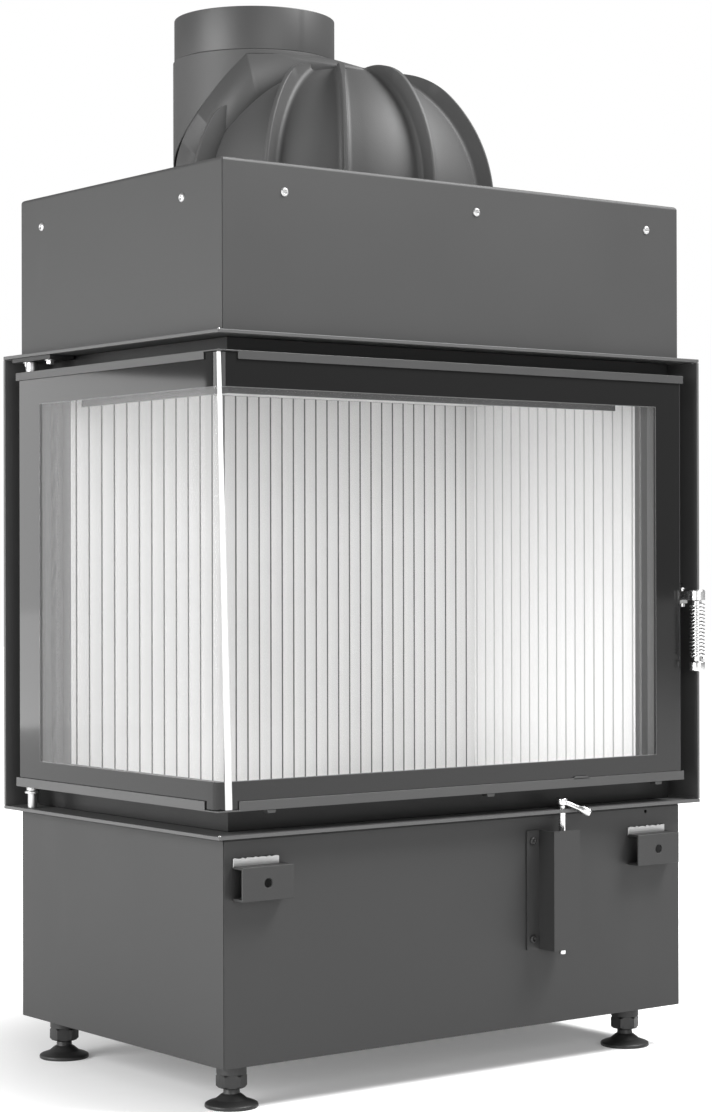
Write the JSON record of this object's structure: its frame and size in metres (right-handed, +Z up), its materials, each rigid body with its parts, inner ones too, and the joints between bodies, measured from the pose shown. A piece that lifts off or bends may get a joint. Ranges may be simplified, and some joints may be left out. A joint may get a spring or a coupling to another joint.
{
  "type": "corner fireplace insert",
  "caption": "Steel corner fireplace insert with an L-shaped glass door, white fluted lining, ribbed cast dome, round flue collar, air lever and levelling feet.",
  "frame": {"origin": "bottom centre of the bounding box, on the floor under the feet", "axes": "+X to the right along the glazed front, +Y to the back, +Z up"},
  "size_m": [0.7294, 0.5208, 1.28],
  "materials": {
    "casing_steel": "satin grey stove paint",
    "frame_steel": "satin grey stove paint",
    "cast_iron": "painted casting",
    "door_steel": "satin black",
    "bright_metal": "polished",
    "zinc": "zinc plated",
    "black_iron": "black",
    "lining_board": "matt white, fluted",
    "ceramic_glass": "clear with a black printed border",
    "rope_seal": "glass fibre rope"
  },
  "bodies": {
    "root": {"lower_front_panel": "casing_steel", "lower_left_panel": "casing_steel", "lower_right_panel": "casing_steel", "lower_back_panel": "casing_steel", "base_tray": "casing_steel", "upper_front_panel": "casing_steel", "upper_left_panel": "casing_steel", "upper_right_panel": "casing_steel", "upper_back_panel": "casing_steel", "air_guard": "casing_steel", "air_box": "casing_steel", "facade_bracket_left": "casing_steel", "facade_bracket_right": "casing_steel", "air_inlet_collar": "casing_steel", "frame_bottom_plate": "frame_steel", "frame_top_plate": "frame_steel", "frame_right_plate": "frame_steel", "frame_rear_plate": "frame_steel", "firebox_header": "frame_steel", "firebox_sill": "frame_steel", "firebox_right_stile": "frame_steel", "firebox_rear_stile": "frame_steel", "firebox_back_wall": "frame_steel", "firebox_right_wall": "frame_steel", "smoke_hood": "frame_steel", "flue_collar": "frame_steel", "flue_dome": "cast_iron", "outlet_elbow": "cast_iron", "hearth_slab": "lining_board", "back_lining": "lining_board", "right_lining": "lining_board", "baffle_plate": "lining_board", "air_strip": "black_iron", "hinge_top_bracket": "black_iron", "latch_strike": "black_iron", "foot_nut_front_left": "black_iron", "foot_nut_rear_left": "black_iron", "foot_nut_front_right": "black_iron", "foot_nut_rear_right": "black_iron", "hinge_bottom_post": "zinc"},
    "door": {"door_glass": "ceramic_glass", "door_top_rail": "door_steel", "door_bottom_rail": "door_steel", "door_right_stile": "door_steel", "door_rear_stile": "door_steel", "door_gasket": "rope_seal", "hinge_lower_bush": "zinc", "hinge_upper_bush": "zinc", "handle_lug": "door_steel", "handle_bolt": "bright_metal"},
    "handle": {"handle_lever": "bright_metal", "grip_core": "bright_metal", "grip_coil": "bright_metal"},
    "air_lever": {"air_lever": "bright_metal", "air_crank": "black_iron"},
    "air_gate": {"air_gate": "black_iron"},
    "foot_front_left_body": {"foot_front_left": "black_iron"},
    "foot_rear_left_body": {"foot_rear_left": "black_iron"},
    "foot_front_right_body": {"foot_front_right": "black_iron"},
    "foot_rear_right_body": {"foot_rear_right": "black_iron"}
  },
  "joints": [
    {"name": "door_hinge", "type": "hinge", "parent": "root", "child": "door", "pos_m": [-0.35275, 0.1814, 0.3075], "axis": [0, 0, -1], "range_deg": [0, 95]},
    {"name": "handle_turn", "type": "hinge", "parent": "door", "child": "handle", "pos_m": [0.34675, -0.2231, 0.568], "axis": [0, 0, 1], "range_deg": [0, 25]},
    {"name": "air_lever_turn", "type": "hinge", "parent": "root", "child": "air_lever", "pos_m": [0.14075, -0.2286, 0.3165], "axis": [0, 0, 1], "range_deg": [-50, 0]},
    {"name": "air_gate_slide", "type": "slide", "parent": "root", "child": "air_gate", "axis": [-1, 0, 0], "range_m": [-0.0263, 0]},
    {"name": "foot_front_left_adjust", "type": "slide", "parent": "root", "child": "foot_front_left_body", "axis": [0, 0, -1], "range_m": [0, 0.025]},
    {"name": "foot_rear_left_adjust", "type": "slide", "parent": "root", "child": "foot_rear_left_body", "axis": [0, 0, -1], "range_m": [0, 0.025]},
    {"name": "foot_front_right_adjust", "type": "slide", "parent": "root", "child": "foot_front_right_body", "axis": [0, 0, -1], "range_m": [0, 0.025]},
    {"name": "foot_rear_right_adjust", "type": "slide", "parent": "root", "child": "foot_rear_right_body", "axis": [0, 0, -1], "range_m": [0, 0.025]}
  ],
  "couplings": [
    {"joint": "air_gate_slide", "follows": "air_lever_turn", "m_per_rad": 0.03}
  ]
}
